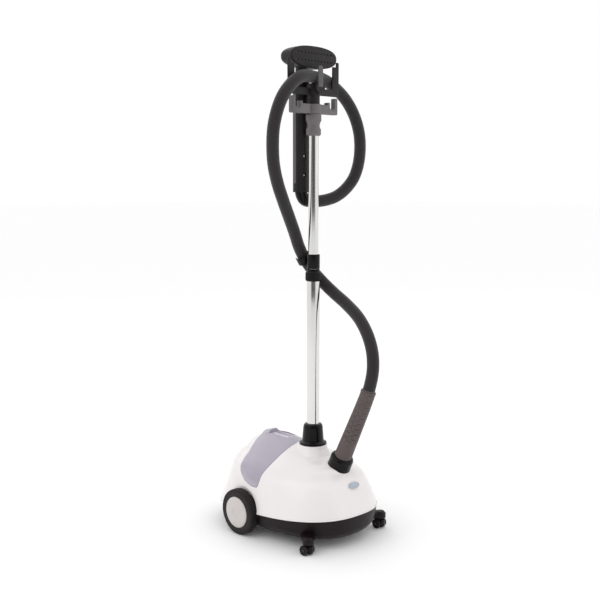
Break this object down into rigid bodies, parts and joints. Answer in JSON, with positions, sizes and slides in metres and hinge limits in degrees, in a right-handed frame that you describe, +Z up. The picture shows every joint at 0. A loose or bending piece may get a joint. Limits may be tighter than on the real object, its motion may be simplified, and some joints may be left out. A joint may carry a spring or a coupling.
{
  "type": "garment steamer",
  "caption": "Upright garment steamer: wheeled water base with lift-out tank, telescopic pole, steam hose and a wide steam head resting on a cradle over a hanger rack.",
  "frame": {"origin": "centre of the base's plan on the floor", "axes": "+Z up, -Y towards the hose port and the casters (front), X along the wheel axle"},
  "size_m": [0.3648, 0.4659, 1.195],
  "materials": {
    "pan_plastic": "fine grain, dark brown-black",
    "shell_plastic": "smooth glossy white",
    "well_plastic": "smooth white",
    "lens": "clear grey lens",
    "bright_steel": "zinc-plated",
    "tyre_rubber": "matte rubber",
    "hub_plastic": "grey",
    "cap_plastic": "light grey satin",
    "black_plastic": "glossy black",
    "tank_plastic": "translucent lilac polycarbonate",
    "grip_plastic": "translucent white",
    "grey_plastic": "mid grey, fine grain",
    "seal_rubber": "silicone",
    "cast_alloy": "as cast",
    "ceramic": "phenolic and ceramic",
    "silicone_tube": "silicone tube",
    "hose_cloth": "black woven sleeve",
    "relief_rubber": "moulded, ribbed",
    "chrome_tube": "polished",
    "switch_red": "glossy",
    "head_plastic": "grained dark grey",
    "handle_plastic": "satin dark grey"
  },
  "bodies": {
    "base": {"base_pan": "pan_plastic", "upper_shell": "shell_plastic", "tank_well": "well_plastic", "indicator_lens": "lens", "shell_screws": "bright_steel", "wheel_axle": "bright_steel", "cord_inlet": "seal_rubber", "switch_bezel": "black_plastic", "valve_seat": "well_plastic", "seat_seal": "seal_rubber", "boiler": "cast_alloy", "boiler_lid": "cast_alloy", "heater": "bright_steel", "thermostat": "ceramic", "thermal_fuse": "ceramic", "feed_pipe": "silicone_tube", "steam_pipe": "silicone_tube", "port_collar": "black_plastic", "bend_relief": "relief_rubber", "hose_riser": "hose_cloth", "pole_socket": "black_plastic", "lower_pole": "chrome_tube", "lock_body": "black_plastic", "hose_clip": "black_plastic"},
    "wheel_left": {"tyre_left": "tyre_rubber", "hub_left": "hub_plastic", "hub_cap_left": "cap_plastic"},
    "wheel_right": {"tyre_right": "tyre_rubber", "hub_right": "hub_plastic", "hub_cap_right": "cap_plastic"},
    "caster_left": {"caster_yoke_left": "black_plastic", "caster_axle_left": "bright_steel"},
    "caster_right": {"caster_yoke_right": "black_plastic", "caster_axle_right": "bright_steel"},
    "caster_roll_left": {"caster_wheels_left": "tyre_rubber"},
    "caster_roll_right": {"caster_wheels_right": "tyre_rubber"},
    "drain": {"drain_plug": "pan_plastic"},
    "rocker": {"switch_rocker": "switch_red"},
    "tank": {"water_tank": "tank_plastic", "tank_grip": "grip_plastic"},
    "cap": {"tank_cap": "grey_plastic", "valve_spring": "bright_steel"},
    "plunger": {"valve_plunger": "bright_steel"},
    "lock": {"lock_collar": "black_plastic"},
    "mast": {"upper_pole": "chrome_tube", "top_collar": "grey_plastic", "hanger_rack": "grey_plastic", "hose_rest": "head_plastic", "head_cradle": "head_plastic"},
    "head": {"nozzle_body": "head_plastic", "steam_plate": "head_plastic", "handle_front": "handle_plastic", "handle_back": "handle_plastic", "handle_screws": "bright_steel", "hose_ferrule": "black_plastic", "hose_loop": "hose_cloth"}
  },
  "joints": [
    {"name": "wheel_left_spin", "type": "hinge", "parent": "base", "child": "wheel_left", "pos_m": [-0.155, 0.052, 0.057], "axis": [1, 0, 0], "continuous": true},
    {"name": "wheel_right_spin", "type": "hinge", "parent": "base", "child": "wheel_right", "pos_m": [0.155, 0.052, 0.057], "axis": [1, 0, 0], "continuous": true},
    {"name": "caster_left_swivel", "type": "hinge", "parent": "base", "child": "caster_left", "pos_m": [-0.128, -0.164, 0.03], "axis": [0, 0, 1], "continuous": true},
    {"name": "caster_left_roll", "type": "hinge", "parent": "caster_left", "child": "caster_roll_left", "pos_m": [-0.128, -0.161, 0.012], "axis": [1, 0, 0], "continuous": true},
    {"name": "caster_right_swivel", "type": "hinge", "parent": "base", "child": "caster_right", "pos_m": [0.128, -0.164, 0.03], "axis": [0, 0, 1], "continuous": true},
    {"name": "caster_right_roll", "type": "hinge", "parent": "caster_right", "child": "caster_roll_right", "pos_m": [0.128, -0.161, 0.012], "axis": [1, 0, 0], "continuous": true},
    {"name": "drain_turn", "type": "hinge", "parent": "base", "child": "drain", "pos_m": [0, -0.15, 0.018], "axis": [0, 0, 1], "range_deg": [0, 90]},
    {"name": "rocker_tip", "type": "hinge", "parent": "base", "child": "rocker", "pos_m": [0.04, 0.17861, 0.15263], "axis": [1, 0, 0], "range_deg": [-8, 8]},
    {"name": "tank_lift", "type": "slide", "parent": "base", "child": "tank", "axis": [0, 0, 1], "range_m": [0, 0.16]},
    {"name": "cap_turn", "type": "hinge", "parent": "tank", "child": "cap", "pos_m": [0, 0.026, 0.07], "axis": [0, 0, 1], "range_deg": [0, 60]},
    {"name": "plunger_press", "type": "slide", "parent": "cap", "child": "plunger", "axis": [0, 0, 1], "range_m": [0, 0.005], "stiffness_N_per_m": 400, "springref_m": -0.004, "deforming": ["valve_spring"]},
    {"name": "lock_turn", "type": "hinge", "parent": "base", "child": "lock", "pos_m": [0, -0.05, 0.644], "axis": [0, 0, 1], "range_deg": [0, 90]},
    {"name": "pole_slide", "type": "slide", "parent": "base", "child": "mast", "axis": [0, 0, 1], "range_m": [-0.1, 0.2], "deforming": ["hose_riser"]},
    {"name": "head_lift", "type": "slide", "parent": "mast", "child": "head", "axis": [0, 0, 1], "range_m": [0, 0.15], "deforming": ["hose_loop"]}
  ]
}
